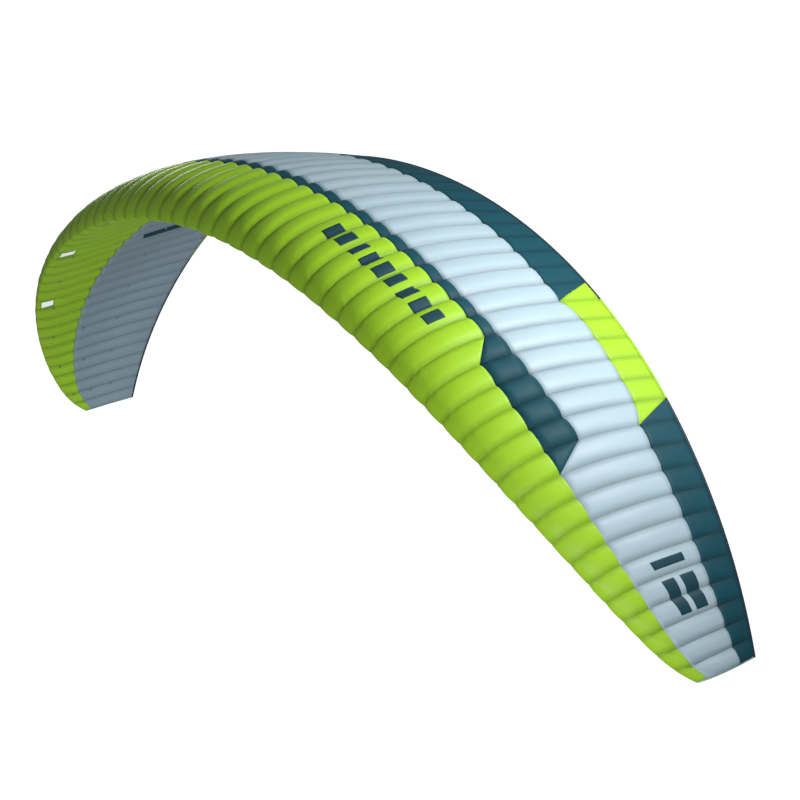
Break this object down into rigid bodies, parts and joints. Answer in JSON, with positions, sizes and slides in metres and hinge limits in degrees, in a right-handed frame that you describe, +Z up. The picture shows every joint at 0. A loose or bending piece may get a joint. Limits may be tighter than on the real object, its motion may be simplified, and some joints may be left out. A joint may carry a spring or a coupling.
{
  "type": "parafoil kite",
  "caption": "Closed-cell ram-air foil kite canopy: arched wing of sewn cells with ribs, valved intakes and bridle loops",
  "frame": {"origin": "midway between the eyes of the two innermost front bridle loops", "axes": "+X along the span, -Y forwards over the leading edge, +Z up"},
  "size_m": [8.762, 1.7201, 2.6674],
  "materials": {
    "lime_ripstop": "satin coated ripstop nylon",
    "teal_ripstop": "satin coated ripstop nylon",
    "silver_ripstop": "satin coated ripstop nylon",
    "grey_ripstop": "satin coated ripstop nylon",
    "rib_cloth": "stiff resin-coated nylon",
    "polyester_film": "clear glossy film",
    "valve_cloth": "matt white spinnaker cloth",
    "white_tape": "woven polyester tape",
    "black_webbing": "woven polyester webbing",
    "grey_webbing": "woven polyester webbing",
    "hook_and_loop": "hook-and-loop tape",
    "zip_plastic": "moulded coil",
    "zip_metal": "die-cast slider"
  },
  "bodies": {
    "canopy": {"nose_panels_centre": "lime_ripstop", "nose_panels_right": "lime_ripstop", "nose_panels_left": "lime_ripstop", "leading_stripe_centre": "teal_ripstop", "leading_stripe_right": "teal_ripstop", "leading_stripe_left": "teal_ripstop", "top_panels_centre": "silver_ripstop", "top_panels_right": "silver_ripstop", "top_panels_left": "silver_ripstop", "trailing_panels_centre": "teal_ripstop", "trailing_panels_right": "teal_ripstop", "trailing_panels_left": "teal_ripstop", "trailing_insert_right": "lime_ripstop", "trailing_insert_left": "lime_ripstop", "lower_nose_centre": "lime_ripstop", "lower_nose_right": "lime_ripstop", "lower_nose_left": "lime_ripstop", "lower_panels_centre": "grey_ripstop", "lower_panels_right": "grey_ripstop", "lower_panels_left": "grey_ripstop", "tip_panel_right": "grey_ripstop", "tip_panel_left": "grey_ripstop", "plain_ribs_right": "rib_cloth", "plain_ribs_left": "rib_cloth", "load_ribs_right": "rib_cloth", "load_ribs_left": "rib_cloth", "nose_reinforcements_right": "polyester_film", "nose_reinforcements_left": "polyester_film", "diagonal_ribs_right": "rib_cloth", "diagonal_ribs_left": "rib_cloth", "tension_tapes": "white_tape", "trailing_edge_binding": "black_webbing", "intake_frames": "white_tape", "front_loops": "grey_webbing", "middle_loops": "grey_webbing", "rear_loops": "grey_webbing", "brake_loops": "grey_webbing", "zip_tape": "black_webbing", "zip_coil": "zip_plastic"},
    "intake_flap_right_1": {"intake_flap_right_1": "valve_cloth"},
    "intake_flap_right_2": {"intake_flap_right_2": "valve_cloth"},
    "intake_flap_right_3": {"intake_flap_right_3": "valve_cloth"},
    "intake_flap_right_4": {"intake_flap_right_4": "valve_cloth"},
    "intake_flap_left_1": {"intake_flap_left_1": "valve_cloth"},
    "intake_flap_left_2": {"intake_flap_left_2": "valve_cloth"},
    "intake_flap_left_3": {"intake_flap_left_3": "valve_cloth"},
    "intake_flap_left_4": {"intake_flap_left_4": "valve_cloth"},
    "zip_slider": {"zip_slider": "zip_metal"},
    "zip_pull": {"zip_pull": "black_webbing"},
    "tip_vent_flap_right": {"tip_vent_flap_right": "hook_and_loop"},
    "tip_vent_flap_left": {"tip_vent_flap_left": "hook_and_loop"}
  },
  "joints": [
    {"name": "intake_valve_right_1", "type": "hinge", "parent": "canopy", "child": "intake_flap_right_1", "pos_m": [0.20205, -0.13251, 0.03453], "axis": [0.9994, 0, -0.0347], "range_deg": [0, 50]},
    {"name": "intake_valve_left_1", "type": "hinge", "parent": "canopy", "child": "intake_flap_left_1", "pos_m": [-0.20205, -0.13251, 0.03453], "axis": [0.9994, 0, 0.0347], "range_deg": [0, 50]},
    {"name": "intake_valve_right_2", "type": "hinge", "parent": "canopy", "child": "intake_flap_right_2", "pos_m": [1.38967, -0.13069, -0.1314], "axis": [0.9703, 0.0057, -0.2418], "range_deg": [0, 50]},
    {"name": "intake_valve_left_2", "type": "hinge", "parent": "canopy", "child": "intake_flap_left_2", "pos_m": [-1.38967, -0.13069, -0.1314], "axis": [0.9703, -0.0057, 0.2418], "range_deg": [0, 50]},
    {"name": "intake_valve_right_3", "type": "hinge", "parent": "canopy", "child": "intake_flap_right_3", "pos_m": [2.46911, -0.1065, -0.52502], "axis": [0.8958, 0.0446, -0.4421], "range_deg": [0, 50]},
    {"name": "intake_valve_left_3", "type": "hinge", "parent": "canopy", "child": "intake_flap_left_3", "pos_m": [-2.46911, -0.1065, -0.52502], "axis": [0.8958, -0.0446, 0.4421], "range_deg": [0, 50]},
    {"name": "intake_valve_right_4", "type": "hinge", "parent": "canopy", "child": "intake_flap_right_4", "pos_m": [3.35993, -0.01375, -1.09209], "axis": [0.7685, 0.1421, -0.6239], "range_deg": [0, 50]},
    {"name": "intake_valve_left_4", "type": "hinge", "parent": "canopy", "child": "intake_flap_left_4", "pos_m": [-3.35993, -0.01375, -1.09209], "axis": [0.7685, -0.1421, 0.6239], "range_deg": [0, 50]},
    {"name": "tip_vent_right", "type": "hinge", "parent": "canopy", "child": "tip_vent_flap_right", "pos_m": [4.35258, 0.78659, -2.35163], "axis": [0, -1, 0], "range_deg": [0, 100]},
    {"name": "tip_vent_left", "type": "hinge", "parent": "canopy", "child": "tip_vent_flap_left", "pos_m": [-4.35258, 0.78659, -2.35163], "axis": [0, 1, 0], "range_deg": [0, 100]},
    {"name": "zip_slide", "type": "slide", "parent": "canopy", "child": "zip_slider", "axis": [1, 0, 0], "range_m": [-0.148, 0]},
    {"name": "zip_pull_swing", "type": "hinge", "parent": "zip_slider", "child": "zip_pull", "pos_m": [0.074, 1.4699, 0.03832], "axis": [1, 0, 0], "range_deg": [-80, 80]}
  ]
}
